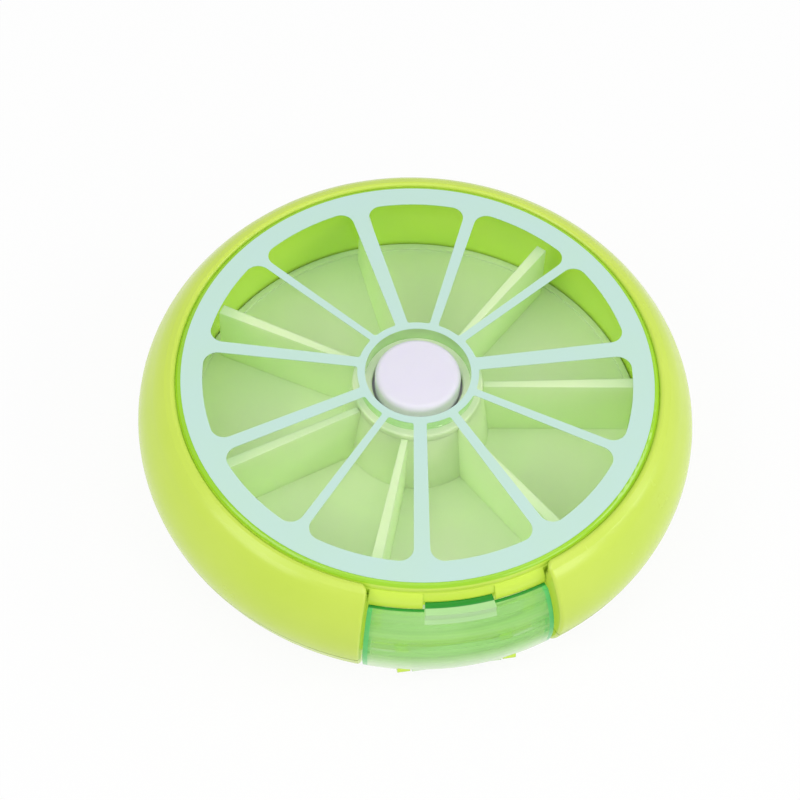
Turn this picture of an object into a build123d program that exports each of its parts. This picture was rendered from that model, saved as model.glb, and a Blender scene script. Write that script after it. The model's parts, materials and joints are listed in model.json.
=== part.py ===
from build123d import *
from math import asin, cos, degrees, dist, pi, radians, sin, tan
import os

# A round weekly pill box: seven cells on a turning tray, a push button in the middle and a flap at the front.
# The origin is the centre of the foot's face, +Z is up, the flap faces -Y. Lengths in mm, angles in degrees.

# Case: in section its belly is one large arc with a smaller shoulder arc at each end
case_diameter = 90.0
case_height = 24.0
shoulder_low = 3.45
rim_drop = 1.6
belly_angle = 36.0
shoulder_radius = 3.6
shoulder_angle = 80.0
shell_wall = 1.6
parting_drop = 2.55
parting_gap = 0.15
lap_depth = 1.5
lap_wall = 0.65
lap_cover = 0.75
lap_clearance = 0.1

# Foot and floor of the base
foot_inset = 10.0
foot_width = 1.6
base_floor_height = 1.4
base_floor_wall = 1.4
ledge_setback = 0.8

# Cover and its print
cover_inset = 0.9
cover_wall = 1.6
cover_edge_round = 1.0
cover_spigot_depth = 1.3
cover_spigot_wall = 1.1
groove_width = 0.3
ink_thickness = 0.1
print_margin = 0.9
print_band_width = 3.4
centre_ring_width = 1.2
window_corner = 2.2
window_root = 0.4
well_margin = 1.6
well_wall = 1.0
well_gap = 0.4

# Each printed spoke: its width at the centre ring, its width at the outer band, and how far its root leans
spoke_shapes = (
    (2.3, 2.9, 2.2), (1.3, 1.6, 1.6), (1.4, 2.1, 0.0), (2.0, 2.9, -1.5), (1.1, 1.4, -1.7), (1.8, 2.2, -3.4),
    (1.8, 2.2, -1.2), (1.1, 1.6, 0.0), (2.0, 2.5, 0.9), (1.4, 2.1, 1.8), (1.2, 1.7, 2.0),
)

# Drum, the inner wall that closes the cells
drum_side_gap = 0.55
drum_wall = 1.4
drum_lip_gap = 0.15
drum_seat_gap = 0.05
drum_flange_margin = 0.4
drum_flange_wall = 1.2
window_half_angle = 17.0
window_sill_rise = 0.9
window_head_drop = 0.8

# Notch, the band above the flap, and the flap
notch_half_angle = 20.2
notch_edge_round = 0.45
notch_corner_round = 1.2
notch_floor_gap = 0.1
band_side_gap = 0.3
band_height = 2.6
band_overhang = 0.3
band_bulge = 0.25
scoop_margin = 0.5
scoop_depth = 0.35
lip_half_angle = 7.5
lip_height = 0.9
lip_root = 0.4
lip_overhang = 0.4
lip_front_height = 1.95
lip_clearance = 0.3
door_side_gap = 0.5
door_wall = 1.2
door_top_gap = 0.25
door_drum_gap = 0.3
door_belly_inset = 1.2
door_belly_rise = 4.6
door_foot_inset = 2.1
door_foot_rise = 0.9
door_sole_wall = 1.1
door_side_angle = 1.6
door_side_drop = 0.8
hinge_setback = 1.6
hinge_drop = 0.36
knuckle_radius = 1.2
knuckle_length = 14.0
hinge_end_gap = 0.3
lug_width = 2.0
lug_radius = 1.1
lug_relief = 0.35
lug_arm_rise = 1.5
pin_radius = 0.6
pin_clearance = 0.05

# Tray
cell_count = 7
tray_turn = -7.26
tray_gap = 0.3
tray_lift = 0.44
tray_floor_wall = 1.2
tray_border_width = 1.0
tray_border_height = 0.45
divider_drop = 2.3
divider_setback = 2.4
divider_outer_wall = 2.1
divider_inner_wall = 1.3
divider_draft = 0.8
hub_drop = 2.8
hub_flare = 1.65
hub_wall = 1.3
sleeve_wall = 1.15
detent_ring_radius = 18.5
detent_ring_width = 3.0
detent_ring_depth = 1.0
detent_notch_radius = 1.25
detent_notch_depth = 0.95

# Collar that closes the hub and keeps the button in
collar_width = 3.2
collar_wall = 1.4
collar_spigot_depth = 2.0
collar_spigot_wall = 0.8
collar_edge_round = 0.3
fit_gap = 0.1

# Button, its stem and what hangs on the stem
button_radius = 6.85
button_sink = 0.2
button_travel = 1.8
button_edge_round = 1.0
button_crown = 0.2
button_top_wall = 1.2
button_skirt_wall = 0.85
button_gap = 0.4
flange_width = 0.85
flange_height = 1.1
flange_gap = 0.4
stem_radius = 2.0
stem_head_gap = 0.65
stem_head_wall = 1.0
key_gap = 0.55
key_wall = 1.1
key_height = 3.7
key_clearance = 0.1
key_end_gap = 0.15
key_slot_depth = 3.65
running_clearance = 0.06
washer_radius = 4.3
washer_wall = 0.6
screw_head_radius = 2.4
screw_head_height = 1.1
screw_shank_radius = 0.95
screw_length = 6.0
shank_clearance = 0.05
drive_slot_width = 0.5
drive_slot_depth = 0.4
drive_slot_share = 0.65

# Post and well of the base
post_radius = 3.5
post_stand = 4.0
tray_play = 0.1
thrust_washer_wall = 0.5
thrust_washer_margin = 0.7
well_roof_wall = 1.2
well_roof_gap = 0.1
well_clearance = 0.8
well_wall_below = 1.1
plug_ledge = 0.6
plug_thickness = 0.7
plug_bottom = 0.3
plug_edge_round = 0.2

# Return spring of the button
spring_wire = 0.6
spring_turns = 6
spring_side_gap = 0.25
spring_seat_gap = 0.05

# Detent leaf, its boss and its screw
leaf_wall = 0.3
leaf_width = 2.4
leaf_boss_length = 5.6
leaf_boss_round = 0.3
leaf_start = 13.0
leaf_pad_end = 7.5
leaf_pad_drop = 2.95
leaf_nose_half = 2.2
leaf_nose_rise = 1.35
leaf_nose_drop = 0.55
leaf_bend = 0.8
leaf_screw_head_radius = 1.0
leaf_screw_head_height = 0.8
leaf_screw_shank_radius = 0.6
leaf_screw_length = 1.9

# Case screws
case_screw_count = 4
case_screw_angle = 45.0
case_screw_inset = 1.4
case_screw_head_radius = 1.8
case_screw_head_height = 1.0
case_screw_cover = 0.96
case_boss_radius = 2.4
case_boss_gap = 0.05

# The belly's section follows from the height that the base and the cover leave it
front_angle = -90.0
case_radius = case_diameter / 2
cover_top = case_height - ink_thickness
cover_bottom = cover_top - cover_wall
shoulder_high = cover_top - rim_drop
belly_height = (shoulder_low + shoulder_high) / 2
shoulder_up = (shoulder_high - shoulder_low) / 2 - shoulder_radius * sin(radians(shoulder_angle))
belly_radius = shoulder_up / sin(radians(belly_angle)) + shoulder_radius
belly_centre = case_radius - belly_radius
shoulder_out = belly_centre + (belly_radius - shoulder_radius) * cos(radians(belly_angle))
shoulder_slope = tan(radians(90 - shoulder_angle))


def belly_point(angle, inset, side):
    """A point of the belly's section where its normal is turned from level, up (1) or down (-1)."""
    if angle <= belly_angle:
        reach = belly_radius - inset
        return (belly_centre + reach * cos(radians(angle)), belly_height + side * reach * sin(radians(angle)))
    reach = shoulder_radius - inset
    rise = shoulder_up + reach * sin(radians(angle))
    return (shoulder_out + reach * cos(radians(angle)), belly_height + side * rise)


def level_angle(height, inset):
    """How far the belly's normal is turned from level at a height."""
    return degrees(asin(abs(height - belly_height) / (belly_radius - inset)))


# Shells: the rim ends at the groove round the cover, and the base at its ledge and its foot
rim_skin_end = belly_point(shoulder_angle, 0, 1)
rim_wall_end = belly_point(shoulder_angle, shell_wall, 1)
base_skin_end = belly_point(shoulder_angle, 0, -1)
base_wall_end = belly_point(shoulder_angle, shell_wall, -1)
rim_seat = rim_wall_end[1]
ledge_height = base_wall_end[1]
foot_radius = case_radius - foot_inset
foot_top = base_skin_end[1] - (base_skin_end[0] - foot_radius) * shoulder_slope
ledge_radius = foot_radius - ledge_setback
base_floor_top = base_floor_height + base_floor_wall
parting_height = belly_height - parting_drop

# Drum, cover and print
drum_outer_radius = rim_wall_end[0] - drum_side_gap
drum_inner_radius = drum_outer_radius - drum_wall
cover_radius = drum_outer_radius - cover_inset
rim_inner_radius = cover_radius + groove_width
rim_top = rim_skin_end[1] + (rim_skin_end[0] - rim_inner_radius) * shoulder_slope
drum_lip_radius = rim_inner_radius - drum_lip_gap
cover_spigot_radius = drum_inner_radius - fit_gap
print_radius = cover_radius - print_margin
well_radius = button_radius + well_margin
flange_top = ledge_height + drum_flange_wall
case_screw_circle = ledge_radius - case_screw_inset - case_boss_radius
drum_flange_inner = case_screw_circle - case_boss_radius - drum_flange_margin
case_screw_length = flange_top - case_screw_cover - base_floor_height
screw_turns = [case_screw_angle + number * 360 / case_screw_count for number in range(case_screw_count)]
case_screw_spots = [
    (case_screw_circle * cos(radians(turn)), case_screw_circle * sin(radians(turn))) for turn in screw_turns
]

# Tray, hub and collar
tray_radius = drum_inner_radius - tray_gap
tray_floor_bottom = flange_top + tray_lift
tray_floor_top = tray_floor_bottom + tray_floor_wall
pitch_angle = 360 / cell_count
divider_top = cover_bottom - divider_drop
divider_end_radius = tray_radius - divider_setback
collar_bore = button_radius + button_gap
hub_top = cover_bottom - hub_drop
hub_top_radius = collar_bore + collar_width
hub_floor_radius = hub_top_radius + hub_flare
hub_cavity_top = hub_top_radius - hub_wall
hub_cavity_floor = hub_floor_radius - hub_wall
collar_top = hub_top + collar_wall

# Post, well, thrust washer and the sleeve that turns on the post
sleeve_bore = post_radius + running_clearance
sleeve_radius = sleeve_bore + sleeve_wall
post_top = tray_floor_top + post_stand
boss_top = tray_floor_bottom - tray_play - thrust_washer_wall
well_roof = boss_top - well_roof_wall
well_bore = washer_radius + well_clearance
plug_radius = well_bore + plug_ledge
boss_radius = plug_radius + well_wall_below
plug_top = plug_bottom + plug_thickness

# Button, stem, keys and spring
button_top = case_height - button_sink
button_bottom = hub_top - flange_gap - flange_height
button_underside = button_top - button_top_wall
skirt_inner = button_radius - button_skirt_wall
spring_radius = skirt_inner - spring_side_gap - spring_wire / 2
spring_inner = spring_radius - spring_wire / 2
stem_head_radius = spring_inner - stem_head_gap
stem_end = well_roof - well_roof_gap
stem_bore = stem_radius + running_clearance
washer_bottom = stem_end - washer_wall
key_reach = spring_inner - key_gap
key_slot_bottom = post_top + key_end_gap
sleeve_top = key_slot_bottom + key_slot_depth
key_bottom = key_slot_bottom + button_travel + key_end_gap

# Window, band and flap
band_half_angle = notch_half_angle - band_side_gap
band_bottom = cover_bottom - band_height
band_bottom_radius = drum_outer_radius + band_overhang
window_sill = tray_floor_bottom + window_sill_rise
window_head = band_bottom - window_head_drop
scoop_half_angle = lip_half_angle + scoop_margin
door_half_angle = notch_half_angle - door_side_gap
door_top = band_bottom - door_top_gap
door_inner_radius = drum_outer_radius + door_drum_gap
door_top_radius = door_inner_radius + door_wall
door_belly_radius = case_radius - door_belly_inset
door_foot_radius = case_radius - door_foot_inset
lip_inner_radius = drum_outer_radius - lip_root
lip_top = door_top + lip_height
hinge_out = drum_outer_radius + hinge_setback
hinge_height = ledge_height - hinge_drop
door_belly_height = hinge_height + door_belly_rise
door_foot_height = hinge_height + door_foot_rise
door_sole_top = door_foot_height + door_sole_wall
lug_arm_top = hinge_height + lug_arm_rise
lug_start = knuckle_length / 2 + hinge_end_gap
pin_length = 2 * (lug_start + lug_width)

# Detent leaf
leaf_pad = tray_floor_bottom - leaf_pad_drop
leaf_boss_top = leaf_pad - leaf_wall / 2
leaf_nose_top = tray_floor_bottom - leaf_nose_drop
leaf_nose_foot = leaf_nose_top - leaf_nose_rise
leaf_screw_spot = (-(leaf_start + leaf_pad_end) / 2, detent_ring_radius)


def radial_plane(azimuth):
    """The upright plane through the case's axis at an azimuth: its x runs outward and its y runs up."""
    out = Vector(cos(radians(azimuth)), sin(radians(azimuth)), 0)
    return Plane(origin=(0, 0, 0), x_dir=out, z_dir=(out.Y, -out.X, 0))


def across_plane(azimuth, reach):
    """The upright plane square to the radius at an azimuth, at a reach from the axis: its x runs sideways."""
    out = Vector(cos(radians(azimuth)), sin(radians(azimuth)), 0)
    return Plane(origin=out * reach, x_dir=(-out.Y, out.X, 0), z_dir=out)


def belly_arcs(start_angle, inset, side):
    """The belly's two arcs, from an angle on the large one to the end of the shoulder."""
    knee = belly_point(belly_angle, inset, side)
    middle = (start_angle + belly_angle) / 2
    large = ThreePointArc(belly_point(start_angle, inset, side), belly_point(middle, inset, side), knee)
    TangentArc(knee, belly_point(shoulder_angle, inset, side), tangent=large % 1)


def turn_outline(points, mode=Mode.ADD, start=0.0, arc=360.0):
    """Turns a closed outline of (radius, height) points about the case's axis, all the way or by an arc."""
    with BuildSketch(radial_plane(start)) as outline:
        with BuildLine():
            Polyline(*points, close=True)
        make_face()
    revolve(outline.sketch, axis=Axis.Z, revolution_arc=arc, mode=mode)


def block_outline(inner, outer, low, high):
    return ((inner, low), (outer, low), (outer, high), (inner, high))


def turn_block(inner, outer, low, high, mode=Mode.ADD, half_angle=180.0):
    """A ring between two radii and two heights, or the stretch of it that is centred on the front."""
    turn_outline(block_outline(inner, outer, low, high), mode, front_angle - half_angle, 2 * half_angle)


def notch_side_edges(builder):
    """The edges of a shell's two upright flat faces, which are the sides of its notch."""
    flats = builder.faces().filter_by(GeomType.PLANE)
    return flats.filter_by(lambda face: abs(face.normal_at().Z) < fit_gap).edges()


def notch_skin_edges(builder):
    """Where the sides of a shell's notch meet the outer skin of the belly."""
    arcs = notch_side_edges(builder).filter_by(GeomType.CIRCLE)
    return arcs.filter_by(lambda edge: round(edge.radius, 3) in (round(belly_radius, 3), shoulder_radius))


def pan_screws(spots, head_radius, head_height, shank_radius, length, bearing, side):
    """Screws along Z at the spots: the heads bear at a height, and the shanks run up or down by the side."""
    with BuildSketch(Plane.XY.offset(bearing)) as heads:
        with Locations(*spots):
            Circle(head_radius)
    extrude(heads.sketch, amount=-side * head_height)
    with BuildSketch(Plane.XY.offset(bearing)) as shanks:
        with Locations(*spots):
            Circle(shank_radius)
    extrude(shanks.sketch, amount=side * length)
    with BuildSketch(Plane.XY.offset(bearing - side * head_height)) as slots:
        with Locations(*spots):
            Rectangle(2 * head_radius * drive_slot_share, drive_slot_width)
            Rectangle(drive_slot_width, 2 * head_radius * drive_slot_share)
    extrude(slots.sketch, amount=side * drive_slot_depth, mode=Mode.SUBTRACT)


def write(builder, label):
    builder.part.label = label
    export_step(builder.part, f"parts/{label}.step")


os.makedirs("parts", exist_ok=True)

# Outer rim: the upper shell, from the groove round the cover over the belly down to the parting line
rim_low = parting_height + parting_gap
rim_low_outer = belly_point(level_angle(rim_low, 0), 0, -1)
rim_low_inner = belly_point(level_angle(rim_low, shell_wall), shell_wall, -1)
lap_low = parting_height - lap_depth
rabbet_low = lap_low - lap_clearance
rabbet_radius = belly_point(level_angle(rabbet_low, 0), 0, -1)[0] - lap_cover
lap_outer = rabbet_radius - lap_clearance
lap_inner = lap_outer - lap_wall
notch_reach = case_radius + shell_wall
with BuildPart() as outer_rim:
    with BuildSketch(Plane.XZ):
        with BuildLine():
            skin_knee = belly_point(belly_angle, 0, 1)
            skin = ThreePointArc(rim_low_outer, (case_radius, belly_height), skin_knee)
            TangentArc(skin_knee, rim_skin_end, tangent=skin % 1)
            Polyline(
                rim_skin_end,
                (rim_inner_radius, rim_top),
                (rim_inner_radius, rim_seat),
                rim_wall_end,
            )
            wall_knee = belly_point(belly_angle, shell_wall, 1)
            wall = ThreePointArc(rim_low_inner, (case_radius - shell_wall, belly_height), wall_knee)
            TangentArc(wall_knee, rim_wall_end, tangent=wall % 1)
            Polyline(
                rim_low_inner,
                (lap_inner, rim_low),
                (lap_inner, lap_low),
                (lap_outer, lap_low),
                (lap_outer, rim_low),
                rim_low_outer,
            )
        make_face()
    revolve(axis=Axis.Z)
    turn_block(drum_inner_radius, notch_reach, 0, case_height, Mode.SUBTRACT, notch_half_angle)
    corners = notch_side_edges(outer_rim).filter_by(Axis.Z).group_by(lambda edge: edge.center().Z)[-1]
    fillet(corners, notch_corner_round)
    fillet(notch_skin_edges(outer_rim), notch_edge_round)
write(outer_rim, "outer_rim")

# Base shell: the lower half of the belly, the foot, the floor, and the post and well for the button's stem
with BuildPart() as base_shell:
    with BuildSketch(Plane.XZ):
        with BuildLine():
            belly_arcs(level_angle(parting_height, 0), 0, -1)
            Polyline(
                base_skin_end,
                (foot_radius, foot_top),
                (foot_radius, 0),
                (foot_radius - foot_width, 0),
                (foot_radius - foot_width, base_floor_height),
                (boss_radius, base_floor_height),
                (boss_radius, plug_bottom),
                (plug_radius + fit_gap, plug_bottom),
                (plug_radius + fit_gap, plug_top),
                (well_bore, plug_top),
                (well_bore, well_roof),
                (stem_bore, well_roof),
                (stem_bore, post_top),
                (post_radius, post_top),
                (post_radius, boss_top),
                (boss_radius, boss_top),
                (boss_radius, base_floor_top),
                (ledge_radius, base_floor_top),
                (ledge_radius, ledge_height),
                base_wall_end,
            )
            belly_arcs(level_angle(rabbet_low, shell_wall), shell_wall, -1)
            Polyline(
                belly_point(level_angle(rabbet_low, shell_wall), shell_wall, -1),
                (rabbet_radius, rabbet_low),
                (rabbet_radius, parting_height),
                belly_point(level_angle(parting_height, 0), 0, -1),
            )
        make_face()
    revolve(axis=Axis.Z)
    notch_floor_radius = drum_outer_radius + notch_floor_gap
    turn_block(notch_floor_radius, notch_reach, 0, case_height, Mode.SUBTRACT, notch_half_angle)
    fillet(notch_skin_edges(base_shell), notch_edge_round)
    with BuildSketch(Plane.XY.offset(base_floor_height)):
        with Locations(*case_screw_spots):
            Circle(screw_shank_radius + shank_clearance)
    extrude(amount=base_floor_wall, mode=Mode.SUBTRACT)
    with BuildSketch(Plane.XY.offset(base_floor_top)):
        with Locations(leaf_screw_spot):
            RectangleRounded(leaf_boss_length, leaf_width, leaf_boss_round)
    extrude(amount=leaf_boss_top - base_floor_top)
    with BuildSketch(Plane.XY.offset(leaf_boss_top)):
        with Locations(leaf_screw_spot):
            Circle(leaf_screw_shank_radius + shank_clearance)
    extrude(amount=-leaf_screw_length, mode=Mode.SUBTRACT)
write(base_shell, "base_shell")

# Case drum: the wall round the cells, its window, the band above the flap, the hinge lugs and screw bosses
scoop_top = cover_bottom + fit_gap
pocket_top = lip_top + lip_clearance
band_root_radius = (drum_inner_radius + drum_lip_radius) / 2
lug_root = -drum_inner_radius + drum_wall
lug_arm_bottom = ledge_height + lap_clearance
with BuildPart() as case_drum:
    turn_outline(
        (
            (drum_flange_inner, ledge_height),
            (drum_outer_radius, ledge_height),
            (drum_outer_radius, rim_seat - drum_seat_gap),
            (drum_lip_radius, rim_seat - drum_seat_gap),
            (drum_lip_radius, cover_bottom),
            (drum_inner_radius, cover_bottom),
            (drum_inner_radius, flange_top),
            (drum_flange_inner, flange_top),
        )
    )
    band_middle = (
        (drum_lip_radius + band_bottom_radius) / 2 + band_bulge,
        (cover_bottom + band_bottom) / 2,
    )
    with BuildSketch(radial_plane(front_angle - band_half_angle)):
        with BuildLine():
            ThreePointArc((drum_lip_radius, cover_bottom), band_middle, (band_bottom_radius, band_bottom))
            Polyline(
                (band_bottom_radius, band_bottom),
                (band_root_radius, band_bottom),
                (band_root_radius, cover_bottom),
                (drum_lip_radius, cover_bottom),
            )
        make_face()
    revolve(axis=Axis.Z, revolution_arc=2 * band_half_angle)
    turn_outline(
        (
            (drum_lip_radius - fit_gap, scoop_top),
            (band_bottom_radius - scoop_depth, band_bottom),
            (case_radius, band_bottom),
            (case_radius, scoop_top),
        ),
        Mode.SUBTRACT,
        front_angle - scoop_half_angle,
        2 * scoop_half_angle,
    )
    pocket_radius = lip_inner_radius - lip_clearance
    turn_block(pocket_radius, case_radius, window_head, pocket_top, Mode.SUBTRACT, scoop_half_angle)
    turn_block(tray_radius, case_radius, window_sill, window_head, Mode.SUBTRACT, window_half_angle)
    with BuildSketch(Plane.XY.offset(base_floor_top + case_boss_gap)):
        with Locations(*case_screw_spots):
            Circle(case_boss_radius)
    extrude(until=Until.NEXT)
    with BuildSketch(Plane.XY.offset(base_floor_top)):
        with Locations(*case_screw_spots):
            Circle(screw_shank_radius + shank_clearance)
    extrude(amount=case_screw_length - base_floor_wall + shank_clearance, mode=Mode.SUBTRACT)
    for side in (-1, 1):
        with BuildSketch(Plane.YZ.offset(side * (lug_start + lug_width / 2))):
            with Locations((-hinge_out, hinge_height)):
                Circle(lug_radius)
            with BuildLine():
                Polyline(
                    (-hinge_out, lug_arm_bottom),
                    (lug_root, lug_arm_bottom),
                    (lug_root, lug_arm_top),
                    (-hinge_out, lug_arm_top),
                    (-hinge_out - lug_radius, hinge_height),
                    (-hinge_out, hinge_height - lug_radius),
                    close=True,
                )
            make_face()
        extrude(amount=lug_width / 2, both=True)
    turn_block(-lug_root, drum_inner_radius, flange_top, window_sill, Mode.SUBTRACT)
    with BuildSketch(Plane.YZ.offset(-pin_length / 2)):
        with Locations((-hinge_out, hinge_height)):
            Circle(pin_radius + pin_clearance)
    extrude(amount=pin_length, mode=Mode.SUBTRACT)
write(case_drum, "case_drum")

# Top cover: a clear plate with a rounded edge, a spigot inside the drum and a short well round the button
with BuildPart() as top_cover:
    turn_outline(
        (
            (well_radius, cover_top),
            (cover_radius, cover_top),
            (cover_radius, cover_bottom),
            (cover_spigot_radius, cover_bottom),
            (cover_spigot_radius, cover_bottom - cover_spigot_depth),
            (cover_spigot_radius - cover_spigot_wall, cover_bottom - cover_spigot_depth),
            (cover_spigot_radius - cover_spigot_wall, cover_bottom),
            (well_radius + well_wall, cover_bottom),
            (well_radius + well_wall, collar_top + well_gap),
            (well_radius, collar_top + well_gap),
        )
    )
    rim_edges = top_cover.edges().filter_by(GeomType.CIRCLE).group_by(lambda edge: edge.radius)[-1]
    fillet(rim_edges.sort_by(Axis.Z)[-1], cover_edge_round)
write(top_cover, "top_cover")

# Cover print: a thin film of ink in the pattern of a cut citrus fruit, with clear windows between its spokes
band_inner = print_radius - print_band_width
ring_outer = well_radius + centre_ring_width
with BuildPart() as cover_print:
    with BuildSketch(Plane.XY.offset(cover_top)) as slice_print:
        Circle(print_radius)
        Circle(band_inner, mode=Mode.SUBTRACT)
        Circle(ring_outer)
        spoke_root = ring_outer - centre_ring_width / 2
        spoke_tip = band_inner + print_band_width / 2
        for number, (root_width, tip_width, lean) in enumerate(spoke_shapes):
            azimuth = radians(number * 360 / len(spoke_shapes))
            root = Vector(cos(azimuth + radians(lean)), sin(azimuth + radians(lean))) * spoke_root
            tip = Vector(cos(azimuth), sin(azimuth)) * spoke_tip
            across = (tip - root).normalized().rotate(Axis.Z, 90)
            with BuildLine():
                Polyline(
                    root - across * root_width / 2,
                    tip - across * tip_width / 2,
                    tip + across * tip_width / 2,
                    root + across * root_width / 2,
                    close=True,
                )
            make_face()
        at_band = [v for v in slice_print.vertices() if abs(dist((v.X, v.Y), (0, 0)) - band_inner) < fit_gap]
        fillet(at_band, window_corner)
        at_ring = [v for v in slice_print.vertices() if abs(dist((v.X, v.Y), (0, 0)) - ring_outer) < fit_gap]
        fillet(at_ring, window_root)
        Circle(well_radius, mode=Mode.SUBTRACT)
    extrude(amount=ink_thickness)
write(cover_print, "cover_print")

# Pill tray: floor with a raised border, dividers, hub, a sleeve that turns on the post, and detent notches
with BuildPart() as pill_tray:
    turn_outline(
        (
            (sleeve_bore, tray_floor_bottom),
            (tray_radius, tray_floor_bottom),
            (tray_radius, tray_floor_top + tray_border_height),
            (tray_radius - tray_border_width, tray_floor_top + tray_border_height),
            (tray_radius - tray_border_width, tray_floor_top),
            (hub_floor_radius, tray_floor_top),
            (hub_top_radius, hub_top),
            (hub_cavity_top, hub_top),
            (hub_cavity_floor, tray_floor_top),
            (sleeve_radius, tray_floor_top),
            (sleeve_radius, sleeve_top),
            (sleeve_bore, sleeve_top),
        )
    )
    with BuildSketch(Plane.XY.offset(tray_floor_top)):
        for number in range(cell_count):
            with Locations(Location((0, 0, 0), (0, 0, tray_turn + number * pitch_angle))):
                Polygon(
                    (hub_cavity_top, -divider_inner_wall / 2),
                    (divider_end_radius, -divider_outer_wall / 2),
                    (divider_end_radius, divider_outer_wall / 2),
                    (hub_cavity_top, divider_inner_wall / 2),
                    align=None,
                )
    extrude(amount=divider_top - tray_floor_top, taper=divider_draft)
    turn_outline(
        (
            (sleeve_radius, tray_floor_top),
            (hub_cavity_floor, tray_floor_top),
            (hub_cavity_top, hub_top),
            (sleeve_radius, hub_top),
        ),
        Mode.SUBTRACT,
    )
    turn_block(0.0, hub_top_radius + fit_gap, hub_top, case_height, Mode.SUBTRACT)
    turn_block(
        detent_ring_radius - detent_ring_width / 2,
        detent_ring_radius + detent_ring_width / 2,
        tray_floor_bottom - detent_ring_depth,
        tray_floor_bottom,
    )
    with BuildSketch(Plane.XY.offset(key_slot_bottom)):
        Rectangle(2 * (sleeve_radius + key_clearance), key_wall + 2 * key_clearance)
    extrude(amount=sleeve_top - key_slot_bottom, mode=Mode.SUBTRACT)
    notch_axis_height = tray_floor_bottom - detent_ring_depth + detent_notch_depth - detent_notch_radius
    for number in range(cell_count):
        notch_angle = -front_angle + number * pitch_angle
        with BuildSketch(across_plane(notch_angle, detent_ring_radius)) as detent_notch:
            with Locations((0, notch_axis_height)):
                Circle(detent_notch_radius)
        extrude(detent_notch.sketch, amount=detent_ring_width, both=True, mode=Mode.SUBTRACT)
write(pill_tray, "pill_tray")

# Hub collar: a ring that closes the hub, lets the cap through and stops its flange
with BuildPart() as hub_collar:
    spigot_radius = hub_cavity_top - fit_gap
    turn_outline(
        (
            (collar_bore, hub_top),
            (spigot_radius - collar_spigot_wall, hub_top),
            (spigot_radius - collar_spigot_wall, hub_top - collar_spigot_depth),
            (spigot_radius, hub_top - collar_spigot_depth),
            (spigot_radius, hub_top),
            (hub_top_radius, hub_top),
            (hub_top_radius, collar_top),
            (collar_bore, collar_top),
        )
    )
    collar_edges = hub_collar.edges().filter_by(GeomType.CIRCLE).group_by(Axis.Z)[-1]
    fillet(collar_edges, collar_edge_round)
write(hub_collar, "hub_collar")

# Button cap: a slightly crowned cup with a rounded edge and a flange at its foot
with BuildPart() as button_cap:
    with BuildSketch(Plane.XZ) as cap_half:
        with BuildLine():
            TangentArc((0, button_top), (button_radius, button_top - button_crown), tangent=(1, 0))
            Polyline(
                (button_radius, button_top - button_crown),
                (button_radius, button_bottom + flange_height),
                (button_radius + flange_width, button_bottom + flange_height),
                (button_radius + flange_width, button_bottom),
                (skirt_inner, button_bottom),
                (skirt_inner, button_underside),
                (0, button_underside),
                (0, button_top),
            )
        make_face()
        crown_edge = cap_half.vertices().sort_by_distance((button_radius, button_top - button_crown))[0]
        fillet(crown_edge, button_edge_round)
    revolve(axis=Axis.Z)
write(button_cap, "button_cap")

# Button stem: a plunger with a head under the cap and two keys that run in the slots of the tray's sleeve
with BuildPart() as button_stem:
    with BuildSketch(Plane.XY.offset(stem_end)):
        Circle(stem_radius)
        Circle(screw_shank_radius + shank_clearance, mode=Mode.SUBTRACT)
    extrude(amount=screw_length)
    with BuildSketch(Plane.XY.offset(stem_end + screw_length)):
        Circle(stem_radius)
    extrude(amount=button_underside - stem_end - screw_length)
    with BuildSketch(Plane.XY.offset(button_underside)):
        Circle(stem_head_radius)
    extrude(amount=-stem_head_wall)
    with BuildSketch(Plane.XY.offset(key_bottom)):
        Rectangle(2 * key_reach, key_wall)
    extrude(amount=key_height)
write(button_stem, "button_stem")

# Brake washer: the return spring holds it up against the roof of the base's well
with BuildPart() as brake_washer:
    turn_block(screw_shank_radius + shank_clearance, washer_radius, washer_bottom, stem_end)
write(brake_washer, "brake_washer")

# Stem screw: holds the brake washer on the stem
with BuildPart() as stem_screw:
    pan_screws(
        ((0, 0),), screw_head_radius, screw_head_height, screw_shank_radius,
        screw_length, washer_bottom, 1,
    )
write(stem_screw, "stem_screw")

# Bottom plug: closes the well under the screw
with BuildPart() as bottom_plug:
    with BuildSketch(Plane.XY.offset(plug_bottom)):
        Circle(plug_radius)
    extrude(amount=plug_thickness)
    fillet(bottom_plug.edges().group_by(Axis.Z)[0], plug_edge_round)
write(bottom_plug, "bottom_plug")

# Thrust washer: lies on the boss round the post and carries the tray
with BuildPart() as thrust_washer:
    turn_block(sleeve_bore, boss_radius - thrust_washer_margin, boss_top, boss_top + thrust_washer_wall)
write(thrust_washer, "thrust_washer")

# Return spring: an open coil from the floor of the hub to the underside of the cap, in quarter turns
spring_low = tray_floor_top + spring_wire / 2 + spring_seat_gap
spring_rise = button_underside - spring_wire / 2 - spring_seat_gap - spring_low
quarter_count = 4 * spring_turns
quarter_rise = spring_rise / quarter_count


def coil_point(quarters):
    """A point of the coil's centre line after a number of quarter turns."""
    turn = quarters * pi / 2
    return Vector(spring_radius * cos(turn), spring_radius * sin(turn), spring_low + quarter_rise * quarters)


with BuildPart() as return_spring:
    with BuildLine() as coil:
        heading = Vector(0, spring_radius * pi / 2, quarter_rise).normalized()
        for quarter in range(quarter_count):
            piece = TangentArc(coil_point(quarter), coil_point(quarter + 1), tangent=heading)
            heading = piece % 1
    with BuildSketch(Plane(origin=coil.line @ 0, z_dir=coil.line % 0)):
        Circle(spring_wire / 2)
    sweep(path=coil.line)
write(return_spring, "return_spring")
print("spring's least gap between curls:", round(spring_rise / spring_turns - spring_wire, 2), "mm")

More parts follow.
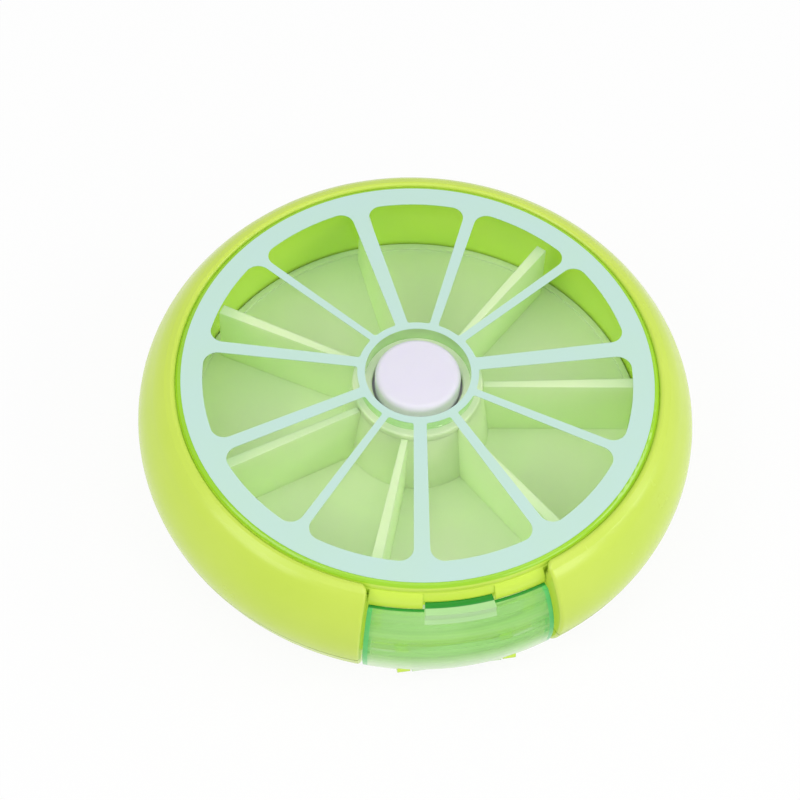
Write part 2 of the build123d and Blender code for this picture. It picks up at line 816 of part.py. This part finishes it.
# Detent spring: a steel leaf on the base whose nose sits in a notch under the tray
with BuildPart() as detent_spring:
    with BuildSketch(Plane.XZ.offset(-detent_ring_radius - leaf_width / 2)):
        with BuildLine():
            FilletPolyline(
                (-leaf_start, leaf_pad),
                (-leaf_pad_end, leaf_pad),
                (-leaf_nose_half, leaf_nose_foot),
                (0, leaf_nose_top),
                (leaf_nose_half, leaf_nose_foot),
                radius=leaf_bend,
            )
        trace(line_width=leaf_wall)
    extrude(amount=leaf_width)
    with BuildSketch(Plane.XY.offset(base_floor_top)):
        with Locations(leaf_screw_spot):
            Circle(leaf_screw_shank_radius + shank_clearance)
    extrude(amount=tray_floor_bottom, mode=Mode.SUBTRACT)
write(detent_spring, "detent_spring")

# Detent screw: holds the leaf on its boss
with BuildPart() as detent_screw:
    pan_screws(
        (leaf_screw_spot,), leaf_screw_head_radius, leaf_screw_head_height, leaf_screw_shank_radius,
        leaf_screw_length, leaf_pad + leaf_wall / 2, -1,
    )
write(detent_screw, "detent_screw")

# Case screws: four from below, through the base's floor into the drum's bosses
with BuildPart() as case_screws:
    pan_screws(
        case_screw_spots, case_screw_head_radius, case_screw_head_height, screw_shank_radius,
        case_screw_length, base_floor_height, 1,
    )
write(case_screws, "case_screws")

# Door flap: a curved clear shell with side walls, a sole, a finger lip on top and a knuckle on the pin below
door_start = front_angle - door_half_angle
door_arc = 2 * door_half_angle
with BuildPart() as door_flap:
    with BuildSketch(radial_plane(door_start)):
        with BuildLine():
            ThreePointArc(
                (door_top_radius, door_top),
                (door_belly_radius, door_belly_height),
                (door_foot_radius, door_foot_height),
            )
            Polyline(
                (door_foot_radius, door_foot_height),
                (hinge_out, door_foot_height),
                (hinge_out, door_sole_top),
                (door_foot_radius - door_wall, door_sole_top),
            )
            ThreePointArc(
                (door_foot_radius - door_wall, door_sole_top),
                (door_belly_radius - door_wall, door_belly_height),
                (door_inner_radius, door_top),
            )
            Line((door_inner_radius, door_top), (door_top_radius, door_top))
        make_face()
    revolve(axis=Axis.Z, revolution_arc=door_arc)
    lip_outer_radius = door_top_radius + lip_overhang
    lip_bottom = lip_top - lip_front_height
    turn_block(lip_inner_radius, lip_outer_radius, lip_bottom, lip_top, Mode.ADD, lip_half_angle)
    for side_start in (door_start, door_start + door_arc - door_side_angle):
        with BuildSketch(radial_plane(side_start)):
            with BuildLine():
                ThreePointArc(
                    (door_inner_radius + door_wall / 2, door_top - door_side_drop),
                    (door_belly_radius - door_wall / 2, door_belly_height),
                    (door_foot_radius - door_wall / 2, door_foot_height),
                )
                Polyline(
                    (door_foot_radius - door_wall / 2, door_foot_height),
                    (door_inner_radius + door_side_drop, door_foot_height),
                    (door_inner_radius, door_foot_height + 2 * door_side_drop),
                    (door_inner_radius, door_top - door_side_drop),
                    (door_inner_radius + door_wall / 2, door_top - door_side_drop),
                )
            make_face()
        revolve(axis=Axis.Z, revolution_arc=door_side_angle)
    with BuildSketch(Plane.YZ.offset(-knuckle_length / 2)):
        with Locations((-hinge_out, hinge_height)):
            Circle(knuckle_radius)
        with BuildLine():
            Polyline(
                (-hinge_out + knuckle_radius, hinge_height),
                (-hinge_out - knuckle_radius, hinge_height),
                (-hinge_out - knuckle_radius, door_sole_top),
                (-hinge_out + knuckle_radius, door_sole_top),
                close=True,
            )
        make_face()
    extrude(amount=knuckle_length)
    for side in (-1, 1):
        with BuildSketch(Plane.YZ.offset(side * (lug_start + lug_width / 2))):
            with Locations((-hinge_out, hinge_height)):
                Circle(lug_arm_top - hinge_height + lug_relief)
        extrude(amount=lug_width / 2 + hinge_end_gap, both=True, mode=Mode.SUBTRACT)
    with BuildSketch(Plane.YZ.offset(-knuckle_length)):
        with Locations((-hinge_out, hinge_height)):
            Circle(pin_radius + pin_clearance)
    extrude(amount=2 * knuckle_length, mode=Mode.SUBTRACT)
write(door_flap, "door_flap")

# Door pin: a steel wire through the lugs and the knuckle
with BuildPart() as door_pin:
    with BuildSketch(Plane.YZ.offset(-pin_length / 2)):
        with Locations((-hinge_out, hinge_height)):
            Circle(pin_radius)
    extrude(amount=pin_length)
write(door_pin, "door_pin")
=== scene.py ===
import json
from math import atan2, cos, hypot, pi, radians, sin

import bmesh
import bpy
from mathutils import Matrix, Vector


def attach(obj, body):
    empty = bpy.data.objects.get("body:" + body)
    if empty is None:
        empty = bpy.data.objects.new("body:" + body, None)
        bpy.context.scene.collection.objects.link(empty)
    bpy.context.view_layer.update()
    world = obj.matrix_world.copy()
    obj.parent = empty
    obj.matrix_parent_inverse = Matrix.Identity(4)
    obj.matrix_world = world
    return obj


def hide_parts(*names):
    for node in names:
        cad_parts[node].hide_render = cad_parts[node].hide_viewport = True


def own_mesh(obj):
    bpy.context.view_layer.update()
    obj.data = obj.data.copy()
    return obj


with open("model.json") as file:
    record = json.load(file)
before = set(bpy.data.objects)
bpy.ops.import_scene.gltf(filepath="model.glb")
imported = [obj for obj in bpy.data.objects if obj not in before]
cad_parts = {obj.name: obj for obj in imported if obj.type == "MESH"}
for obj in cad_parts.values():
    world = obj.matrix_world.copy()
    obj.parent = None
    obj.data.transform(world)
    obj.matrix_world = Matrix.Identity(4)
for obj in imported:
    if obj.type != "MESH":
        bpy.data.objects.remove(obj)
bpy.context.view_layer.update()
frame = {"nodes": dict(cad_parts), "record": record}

# Lengths are in metres. A reach is a distance from the tray's axis, and a turn is an angle about it.

# Camera, from where the photograph was taken: angles in degrees, focal length in pixels, sensor in mm
camera_place = Vector((-0.03595, -0.16565, 0.27300))
camera_yaw = 11.35
camera_pitch = 56.63
camera_roll = 2.95
focal_pixels = 1902.5
image_pixels = 800
sensor_width = 36.0
clip_near, clip_far = 0.01, 10

# Studio: lamps with their place, size and power in watts, the even light round them, and the pale floor
lamp_target = (0, 0, 0.01)
lamps = {
    "left_softbox": {"place": (-0.39, -0.13, 0.45), "size": (0.34, 0.34), "power": 1.04},
    "right_softbox": {"place": (0.50, -0.09, 0.36), "size": (0.24, 0.24), "power": 0.68},
    "front_softbox": {"place": (0.32, -0.38, 0.30), "size": (0.30, 0.20), "power": 0.52},
    "top_softbox": {"place": (0.04, -0.08, 0.60), "size": (0.46, 0.46), "power": 0.72},
}
white = (1, 1, 1, 1)
ambient_strength = 0.49
floor_color = (0.9, 0.9, 0.9, 1)
floor_seen_white = 0.92
floor_reach = 3.0
floor_drop = 0.00005

# Noise cells per metre on each kind of surface: for the drift of its colour, for its gloss and for its bump
moulded_scales = (60, 220, 900)
clear_scales = (80, 140, 120)
ink_scales = (90, 400, 1800)
steel_scales = (300, 1500, 2500)

# The layers of detail in each noise, and the values that most of a noise lies between
color_detail = 3
plain_gloss_detail = 3
steel_gloss_detail = 4
bump_detail = 2
noise_low, noise_high = 0.3, 0.7

# Each gloss, here and below, is the roughness of a surface where its noise is low and where it is high
ink_gloss = (0.38, 0.5)
ink_shine = 0.3
steel_gloss = (0.22, 0.42)

# The height of each bump
bump_strength = 0.6
moulded_bump = 0.000004
ink_bump = 0.000008
steel_bump = 0.00002

# Edges shade as if rounded by these radii, and faces that meet below this angle in degrees shade smooth
plastic_round = 0.0002
door_round = 0.0001
smooth_below = 30.0

# How far and in which colours light spreads under the surface of the translucent plastics
glow_depth = 0.005
glow_spread = (0.8, 1.0, 0.6)

# The parting line between rim and base: its height, then the half width and softness of the painted shade
# along it
parting_height = 0.010325
parting_shade_line = (0.00014, 0.00008)

# The cover's changes of look: each pair is a reach or height, and how soft the change is there
cover_tint = (0.985, 1.0, 0.95, 1)
cover_bend = 1.22
cover_margin = (0.0374, 0.00005)
cover_side_top = (0.0234, 0.0001)
well_wall = (0.0094, 0.00005)
well_clearness = 0.15
cover_gloss = (0.01, 0.03)
cover_edge_gloss = (0.1, 0.16)
well_gloss = (0.06, 0.12)

# The flap as it is built, measured from its own corners
finger_lip_height = 0.0009
door_corners = [corner.co for corner in frame["nodes"]["door_flap"].data.vertices]
door_half_turn = max(abs(atan2(corner.x, -corner.y)) for corner in door_corners)
door_inner_reach = min(hypot(corner.x, corner.y) for corner in door_corners)
finger_lip_top = max(corner.z for corner in door_corners)
door_top = finger_lip_top - finger_lip_height
finger_lip_corners = [corner for corner in door_corners if corner.z > door_top + finger_lip_height / 2]
finger_lip_inner_reach = min(hypot(corner.x, corner.y) for corner in finger_lip_corners)

# The flap's changes of look, in the same pairs, with turns in radians
door_bend = 1.2
door_gloss = (0.02, 0.06)
door_haze_gloss = (0.12, 0.2)
door_edge_gloss = (0.1, 0.18)
door_tint_share = 0.85
door_foot = (0.0098, 0.0024)
# The side bands, the line along the upper edges and the lip bar mark painted edge glow, the green of light
# run along the plate
door_side_band = radians(1.0)
door_side = (door_half_turn - door_side_band, 0.002)
door_line_width = 0.0012
door_line = (door_inner_reach + door_line_width, 0.0001)
door_edge_band = 0.00006
door_line_foot = (door_top - door_edge_band, 0.00002)
finger_lip_ends = (radians(7.6), 0.002)
finger_lip_front_height = 0.00205
finger_lip_low = (finger_lip_top - finger_lip_front_height, 0.00003)
finger_lip_bar_width = 0.0011
finger_lip_bar = (finger_lip_inner_reach + finger_lip_bar_width, 0.00006)
finger_lip_bar_foot = (door_top + door_edge_band, 0.00002)
streak_scale = 520
streak_detail = 2
streak_shares = (0.05, 0.85)

# The rim's lip beside the cover: it rises up to the first reach, and its rise fades out to the second. It is
# drawn in at the bore, fading out to the draw's reach. Both come in from the lip's foot to its full height.
rim_lip_rise = 0.0013
rim_lip_reach = 0.0390
rim_lip_fade_reach = 0.0430
rim_lip_foot = 0.0208
rim_lip_full_height = 0.0214
rim_lip_draw = 0.00024
rim_bore_reach = 0.03869
rim_lip_draw_reach = 0.0393

# The case's section, a wide belly between two tight shoulders, with the turns of its surface in degrees
case_reach = 0.045
shoulder_low = 0.00345
shoulder_high = 0.0223
shoulder_radius = 0.0036
shoulder_turn = 80
belly_turn = 36
section_step = 5
skin_wall = 0.0016
drum_reach = 0.0392

# The notch for the flap, and the cheeks that close the case on either side of it
notch_half_turn = radians(20.2)
cheek_recess = radians(0.06)
cheek_turn = radians(1.1)


def add_object(name, data):
    """An object in the scene, from its mesh, lamp or camera data."""
    thing = bpy.data.objects.new(name, data)
    bpy.context.scene.collection.objects.link(thing)
    return thing


def aim_camera():
    """The camera at the photograph's place and angle."""
    yaw, pitch, roll = radians(camera_yaw), radians(camera_pitch), radians(camera_roll)
    forward = Vector((sin(yaw) * cos(pitch), cos(yaw) * cos(pitch), -sin(pitch)))
    level_right = Vector((cos(yaw), -sin(yaw), 0))
    level_up = level_right.cross(forward)
    right = cos(roll) * level_right + sin(roll) * level_up
    up = -sin(roll) * level_right + cos(roll) * level_up
    facing = Matrix((right, up, -forward)).transposed().to_4x4()
    data = bpy.data.cameras.new("camera")
    data.sensor_width = sensor_width
    data.lens = focal_pixels * sensor_width / image_pixels
    data.clip_start, data.clip_end = clip_near, clip_far
    camera = add_object("camera", data)
    camera.matrix_world = Matrix.Translation(camera_place) @ facing
    bpy.context.scene.camera = camera


def rgb(red, green, blue):
    """An 8-bit display colour as linear values."""
    def linear(value):
        share = value / 255
        return share / 12.92 if share <= 0.04045 else ((share + 0.055) / 1.055) ** 2.4
    return (linear(red), linear(green), linear(blue), 1.0)


def new_material(name):
    """An empty material with its output node."""
    material = bpy.data.materials.new(name)
    material.use_nodes = True
    tree = material.node_tree
    tree.nodes.clear()
    return material, tree, tree.nodes.new("ShaderNodeOutputMaterial")


def feed(tree, node, values):
    """A node with each of these inputs set to a plain value or linked to another node's output."""
    for name, value in values.items():
        socket = node.inputs[name]
        if isinstance(value, bpy.types.NodeSocket):
            tree.links.new(value, socket)
        else:
            socket.default_value = value
    return node


def add_node(tree, kind, values):
    """A new node of this kind, fed with these inputs."""
    return feed(tree, tree.nodes.new(kind), values)


def operate(tree, operation, *values):
    """One math node on sockets or plain numbers."""
    node = tree.nodes.new("ShaderNodeMath")
    node.operation = operation
    return feed(tree, node, dict(enumerate(values))).outputs["Value"]


def both(tree, first, second):
    """The share in which two shares hold together."""
    return operate(tree, "MULTIPLY", first, second)


def mix_colors(tree, share, first, second):
    """Two colours mixed by a share from 0 to 1."""
    mix = tree.nodes.new("ShaderNodeMix")
    mix.data_type = "RGBA"
    return feed(tree, mix, {"Factor": share, "A": first, "B": second}).outputs["Result"]


def mix_shaders(tree, share, first, second):
    """Two shaders mixed by a share from 0 to 1."""
    return add_node(tree, "ShaderNodeMixShader", {"Fac": share, 1: first, 2: second}).outputs["Shader"]


def lay_over(tree, ground, layers):
    """A shader with others laid over it in turn, each by its own share."""
    seen = ground.outputs["BSDF"]
    for share, layer in layers:
        seen = mix_shaders(tree, share, seen, layer.outputs["BSDF"])
    return seen


def place_on_object(tree):
    """The coordinates X, Y and Z of the point on the object."""
    place = tree.nodes.new("ShaderNodeTexCoord")
    return add_node(tree, "ShaderNodeSeparateXYZ", {"Vector": place.outputs["Object"]}).outputs


def reach_of(tree, place):
    """The point's distance from the tray's axis."""
    across = operate(tree, "POWER", place["X"], 2)
    along = operate(tree, "POWER", place["Y"], 2)
    return operate(tree, "SQRT", operate(tree, "ADD", across, along))


def turn_of(tree, place):
    """The point's turn about the tray's axis, to either side of the flap's middle."""
    towards_flap = operate(tree, "MULTIPLY", place["Y"], -1.0)
    return operate(tree, "ABSOLUTE", operate(tree, "ARCTAN2", place["X"], towards_flap))


def beyond(tree, value, edge, blur):
    """0 below the edge and 1 above it, with a soft change between."""
    change = tree.nodes.new("ShaderNodeMapRange")
    change.interpolation_type = "SMOOTHSTEP"
    feed(tree, change, {"Value": value, "From Min": edge - blur, "From Max": edge + blur})
    return change.outputs["Result"]


def below(tree, value, edge, blur):
    """1 below the edge and 0 above it."""
    return operate(tree, "SUBTRACT", 1.0, beyond(tree, value, edge, blur))


def spread_over(tree, value, low, high):
    """A noise whose usual values are stretched over a range."""
    spread = tree.nodes.new("ShaderNodeMapRange")
    spread.clamp = False
    feed(tree, spread, {"Value": value, "From Min": noise_low, "From Max": noise_high})
    return feed(tree, spread, {"To Min": low, "To Max": high}).outputs["Result"]


def noise_at(tree, place, scale, detail):
    """A noise of the coordinates at a place, about 0.5."""
    texture = add_node(tree, "ShaderNodeTexNoise", {"Vector": place, "Scale": scale, "Detail": detail})
    return texture.outputs["Fac"]


def noise_field(tree, scale, detail):
    """A noise of the object's own coordinates."""
    return noise_at(tree, tree.nodes.new("ShaderNodeTexCoord").outputs["Object"], scale, detail)


def noise(tree, scale, detail, low, high):
    """The same noise, mapped to a range."""
    return spread_over(tree, noise_field(tree, scale, detail), low, high)


def streaks(tree, height):
    """The share of haze in the flap: level bands that come and go with the height, like flow marks."""
    place = add_node(tree, "ShaderNodeCombineXYZ", {"Z": height}).outputs["Vector"]
    share = spread_over(tree, noise_at(tree, place, streak_scale, streak_detail), *streak_shares)
    return operate(tree, "MINIMUM", operate(tree, "MAXIMUM", share, 0.0), 1.0)


def mottled(tree, color, shade, scale):
    """A colour that drifts gently towards a second one over the surface."""
    return mix_colors(tree, noise(tree, scale, color_detail, 0, 1), color, shade)


def uneven(tree, scale, height, edge_round):
    """The normal of a faintly uneven surface, over edges that shade as rounded."""
    values = {"Height": noise_field(tree, scale, bump_detail), "Distance": height, "Strength": bump_strength}
    if edge_round:
        values["Normal"] = add_node(tree, "ShaderNodeBevel", {"Radius": edge_round}).outputs["Normal"]
    return add_node(tree, "ShaderNodeBump", values).outputs["Normal"]


def surface(tree, colors, gloss, scales, bump, edge_round=0.0, gloss_detail=plain_gloss_detail):
    """A shader with a colour that drifts between two, a roughness that wanders, and a faint bump."""
    color_scale, gloss_scale, bump_scale = scales
    return add_node(tree, "ShaderNodeBsdfPrincipled", {
        "Base Color": mottled(tree, *colors, color_scale),
        "Roughness": noise(tree, gloss_scale, gloss_detail, *gloss),
        "Normal": uneven(tree, bump_scale, bump, edge_round),
    })


def moulded(tree, colors, gloss, edge_round=0.0):
    """The shader of a moulded plastic."""
    return surface(tree, colors, gloss, moulded_scales, moulded_bump, edge_round)


def clear(tree, colors, gloss, bend):
    """The shader of a clear plastic, which tints what is seen through it and bends it by this index."""
    shader = surface(tree, colors, gloss, clear_scales, moulded_bump)
    return feed(tree, shader, {"Transmission Weight": 1.0, "IOR": bend})


def light_passes(tree):
    """1 for the rays that carry light on to what lies inside, 0 for those that look at the surface."""
    path = tree.nodes.new("ShaderNodeLightPath").outputs
    return operate(tree, "MAXIMUM", path["Is Shadow Ray"], path["Is Diffuse Ray"])


def let_light_through(tree, share, seen, color):
    """A piece as it is seen, of which this share of the light goes straight through to what lies inside."""
    through = add_node(tree, "ShaderNodeBsdfTransparent", {"Color": color})
    return mix_shaders(tree, share, seen, through.outputs["BSDF"])


def plastic(name, colors, gloss, edge_round=plastic_round, glow=0.0, seam=None):
    """A moulded opaque or slightly translucent plastic, with a painted shade line along its seam with the
    next moulding.
    """
    material, tree, output = new_material(name)
    shader = moulded(tree, colors, gloss, edge_round)
    if seam:
        # The seam's darker line is painted shade, standing in for the shade in the narrow gap between the
        # mouldings
        seam_height, seam_shade_color = seam
        own_color = shader.inputs["Base Color"].links[0].from_socket
        away = operate(tree, "ABSOLUTE", operate(tree, "SUBTRACT", place_on_object(tree)["Z"], seam_height))
        at_seam_shade = below(tree, away, *parting_shade_line)
        feed(tree, shader, {"Base Color": mix_colors(tree, at_seam_shade, own_color, seam_shade_color)})
    feed(tree, shader, {
        "Subsurface Weight": glow,
        "Subsurface Radius": glow_spread,
        "Subsurface Scale": glow_depth,
    })
    feed(tree, output, {"Surface": shader.outputs["BSDF"]})
    return material


def cover_plastic(name):
    """The cover: clear over the cells, lime where it meets the drum, and greener in the button's well."""
    material, tree, output = new_material(name)
    middle = clear(tree, (cover_tint, (0.97, 0.995, 0.93, 1)), cover_gloss, cover_bend)
    edge = moulded(tree, (rgb(160, 216, 30), rgb(152, 209, 24)), cover_edge_gloss)
    side = moulded(tree, (rgb(206, 236, 84), rgb(200, 232, 76)), cover_edge_gloss)
    well = moulded(tree, (rgb(198, 238, 164), rgb(172, 226, 134)), well_gloss, plastic_round)
    feed(tree, well, {"Transmission Weight": well_clearness})
    place = place_on_object(tree)
    reach = reach_of(tree, place)
    at_edge = beyond(tree, reach, *cover_margin)
    at_side = both(tree, at_edge, below(tree, place["Z"], *cover_side_top))
    at_well = below(tree, reach, *well_wall)
    seen = lay_over(tree, middle, [(at_edge, edge), (at_side, side), (at_well, well)])
    feed(tree, output, {"Surface": let_light_through(tree, light_passes(tree), seen, cover_tint)})
    return material


def door_plastic(name):
    """The flap: clear and streaky, pale at its foot and finger lip, and dark green along its upper edges, a
    painted edge glow.
    """
    material, tree, output = new_material(name)
    pane = clear(tree, ((0.66, 0.90, 0.56, 1), (0.58, 0.86, 0.48, 1)), door_gloss, door_bend)
    haze = moulded(tree, (rgb(176, 226, 144), rgb(156, 212, 120)), door_haze_gloss)
    foot = moulded(tree, (rgb(222, 247, 204), rgb(206, 240, 184)), door_edge_gloss, door_round)
    # Painted edge glow: bright green at the ends, dark green along the upper edges and lip bar, for light
    # carried along the tinted plate
    side = moulded(tree, (rgb(104, 220, 126), rgb(70, 196, 100)), door_edge_gloss, door_round)
    painted_edge_glow = moulded(tree, (rgb(34, 154, 50), rgb(20, 136, 38)), door_edge_gloss, door_round)
    pale = moulded(tree, (rgb(184, 226, 160), rgb(170, 216, 146)), door_edge_gloss, door_round)
    place = place_on_object(tree)
    height, reach, turn = place["Z"], reach_of(tree, place), turn_of(tree, place)
    at_foot = both(tree, below(tree, height, *door_foot), door_tint_share)
    at_side = both(tree, beyond(tree, turn, *door_side), door_tint_share)
    at_line = both(tree, beyond(tree, height, *door_line_foot), below(tree, reach, *door_line))
    at_lip = both(tree, below(tree, turn, *finger_lip_ends), beyond(tree, height, *finger_lip_low))
    at_bar = both(tree, beyond(tree, height, *finger_lip_bar_foot), below(tree, reach, *finger_lip_bar))
    seen = lay_over(tree, pane, [
        (streaks(tree, height), haze),
        (at_foot, foot),
        (at_side, side),
        (at_line, painted_edge_glow),
        (at_lip, pale),
        (at_bar, painted_edge_glow),
    ])
    feed(tree, output, {"Surface": let_light_through(tree, light_passes(tree), seen, cover_tint)})
    return material


def ink(name, colors, passed):
    """Printed ink: matt where it is seen, and thin enough that part of the light passes on inside."""
    material, tree, output = new_material(name)
    shader = surface(tree, colors, ink_gloss, ink_scales, ink_bump)
    feed(tree, shader, {"Specular IOR Level": ink_shine})
    share = both(tree, light_passes(tree), passed)
    feed(tree, output, {"Surface": let_light_through(tree, share, shader.outputs["BSDF"], colors[0])})
    return material


def steel(name):
    """Plain zinc-plated steel, slightly grained."""
    material, tree, output = new_material(name)
    colors = (0.60, 0.60, 0.62, 1), (0.50, 0.50, 0.53, 1)
    shader = surface(tree, colors, steel_gloss, steel_scales, steel_bump, gloss_detail=steel_gloss_detail)
    feed(tree, shader, {"Metallic": 1.0})
    feed(tree, output, {"Surface": shader.outputs["BSDF"]})
    return material


def slot_materials():
    """The material of each slot in the record."""
    # Painted shade of the narrow gap at the parting line between rim and base
    seam = (parting_height, rgb(150, 180, 40))
    rim_colors = (rgb(205, 228, 86), rgb(199, 225, 76))
    drum_colors = (rgb(212, 241, 80), rgb(206, 238, 72))
    ink_colors = (rgb(194, 226, 211), rgb(194, 225, 217))
    tray_colors = (rgb(232, 251, 206), rgb(227, 249, 199))
    button_colors = (rgb(234, 232, 244), rgb(230, 228, 241))
    return {
        "rim_lime": plastic("rim_lime", rim_colors, (0.19, 0.27), edge_round=0.0, seam=seam),
        "drum_lime": plastic("drum_lime", drum_colors, (0.18, 0.26)),
        "clear_green": cover_plastic("cover_clear"),
        "ink_aqua": ink("ink_aqua", ink_colors, passed=0.9),
        "tray_green": plastic("tray_green", tray_colors, (0.32, 0.44), glow=0.4),
        "button_white": plastic("button_white", button_colors, (0.3, 0.4), glow=0.3),
        "steel": steel("steel"),
    }


def smooth_but_edges(mesh):
    """Shades a mesh smooth but for its real edges."""
    mesh.shade_smooth()
    mesh.set_sharp_from_angle(angle=radians(smooth_below))


def dress_nodes():
    """Gives every CAD node its slot's material, but the flap, in the cover's slot, a finish of its own."""
    finishes = slot_materials()
    own_finish = {"door_flap": door_plastic("door_clear")}
    slots = {part["node"]: part["material_slot"] for part in frame["record"]["subparts"]}
    for name, node in frame["nodes"].items():
        node.data.materials.clear()
        node.data.materials.append(own_finish.get(name, finishes[slots[name]]))
        smooth_but_edges(node.data)


def share_between(value, low, high):
    """0 at or below low, 1 at or above high, and even between."""
    return min(max((value - low) / (high - low), 0.0), 1.0)


def skin_point(turn):
    """Reach and height of the middle of the case's skin, where its normal is turned up by these degrees."""
    side = 1 if turn > 0 else -1
    lean = radians(abs(turn))
    middle = (shoulder_low + shoulder_high) / 2
    rise = (shoulder_high - shoulder_low) / 2 - shoulder_radius * sin(radians(shoulder_turn))
    belly_radius = rise / sin(radians(belly_turn)) + shoulder_radius
    belly_centre = case_reach - belly_radius
    if abs(turn) <= belly_turn:
        radius = belly_radius - skin_wall / 2
        return belly_centre + radius * cos(lean), middle + side * radius * sin(lean)
    radius = shoulder_radius - skin_wall / 2
    shoulder_centre = belly_centre + (belly_radius - shoulder_radius) * cos(radians(belly_turn))
    return shoulder_centre + radius * cos(lean), middle + side * (rise + radius * sin(lean))


def add_cheeks(mesh):
    """Adds the two upright walls that close the hollow case beside the flap, as closed plates."""
    skin = [skin_point(turn) for turn in range(shoulder_turn, -shoulder_turn - 1, -section_step)]
    outline = [(drum_reach, skin[0][1])] + skin + [(drum_reach, skin[-1][1])]
    near_turn = notch_half_turn + cheek_recess
    form = bmesh.new()
    form.from_mesh(mesh)
    plates = []
    for side in (-1, 1):
        rings = []
        for turn in (near_turn, near_turn + cheek_turn):
            across, along = side * sin(turn), -cos(turn)
            corners = [(reach * across, reach * along, height) for reach, height in outline]
            rings.append([form.verts.new(corner) for corner in corners])
        near, far = rings
        plates.append(form.faces.new(near))
        plates.append(form.faces.new(far[::-1]))
        for first in range(len(outline)):
            last = (first + 1) % len(outline)
            plates.append(form.faces.new((near[first], far[first], far[last], near[last])))
    bmesh.ops.recalc_face_normals(form, faces=plates)
    form.to_mesh(mesh)
    form.free()


def close_groove():
    """The rim with its lip raised and drawn in to a hairline from the cover, as round a snapped-in cover."""
    mesh = frame["nodes"]["outer_rim"].data.copy()
    for corner in mesh.vertices:
        reach = hypot(corner.co.x, corner.co.y)
        up = share_between(corner.co.z, rim_lip_foot, rim_lip_full_height)
        fade = (1 + cos(pi * share_between(reach, rim_lip_reach, rim_lip_fade_reach))) / 2
        near = 1 - share_between(reach, rim_bore_reach, rim_lip_draw_reach)
        drawn = (reach - rim_lip_draw * up * near) / reach
        corner.co = Vector((corner.co.x * drawn, corner.co.y * drawn, corner.co.z + rim_lip_rise * up * fade))
    add_cheeks(mesh)
    smooth_but_edges(mesh)
    rim = add_object("rim_closed", mesh)
    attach(rim, "case")
    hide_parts("outer_rim")


def press_spring():
    """The return spring, which stands on the tray's floor, as a copy with its own mesh that goes with the
    tray.
    """
    spring = add_object("spring_pressed", frame["nodes"]["return_spring"].data.copy())
    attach(spring, "tray")
    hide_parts("return_spring")
    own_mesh(spring)


def add_softbox(name, place, size, power):
    """A rectangular soft lamp that faces the case."""
    data = bpy.data.lights.new(name, "AREA")
    data.shape = "RECTANGLE"
    data.size, data.size_y = size
    data.energy = power
    light = add_object(name, data)
    light.location = place
    light.rotation_euler = (Vector(lamp_target) - Vector(place)).to_track_quat("-Z", "Y").to_euler()


def pale_where_seen(tree, lit, seen, share):
    """A lit shader, mixed with a white one for rays from the camera, from gloss and through clear plastic."""
    path = tree.nodes.new("ShaderNodeLightPath").outputs
    looks = operate(tree, "MAXIMUM", path["Is Camera Ray"], path["Is Glossy Ray"])
    looks = operate(tree, "MAXIMUM", looks, path["Is Transmission Ray"])
    return mix_shaders(tree, both(tree, looks, share), lit, seen)


def add_floor():
    """A wide pale floor just under the foot, nearly white where it is seen, with the object's shadow."""
    mesh = bpy.data.meshes.new("floor")
    corners = [(-floor_reach, -floor_reach, 0), (floor_reach, -floor_reach, 0)]
    corners += [(floor_reach, floor_reach, 0), (-floor_reach, floor_reach, 0)]
    mesh.from_pydata(corners, [], [(0, 1, 2, 3)])
    floor = add_object("floor", mesh)
    floor.location.z = -floor_drop
    material, tree, output = new_material("floor_white")
    matte = add_node(tree, "ShaderNodeBsdfDiffuse", {"Color": floor_color}).outputs["BSDF"]
    plain = add_node(tree, "ShaderNodeEmission", {"Color": white}).outputs["Emission"]
    feed(tree, output, {"Surface": pale_where_seen(tree, matte, plain, floor_seen_white)})
    floor.data.materials.append(material)


def light_world():
    """An even light from all round, which is plain white where it is seen."""
    world = bpy.data.worlds.new("studio")
    bpy.context.scene.world = world
    world.use_nodes = True
    tree = world.node_tree
    tree.nodes.clear()
    ambient, plain = (
        add_node(tree, "ShaderNodeBackground", {"Color": white, "Strength": strength}).outputs["Background"]
        for strength in (ambient_strength, 1.0)
    )
    add_node(tree, "ShaderNodeOutputWorld", {"Surface": pale_where_seen(tree, ambient, plain, 1.0)})


dress_nodes()
close_groove()
press_spring()
aim_camera()
add_floor()
light_world()
for lamp_name, lamp in lamps.items():
    add_softbox(lamp_name, **lamp)

bpy.context.scene.view_settings.view_transform = "Standard"
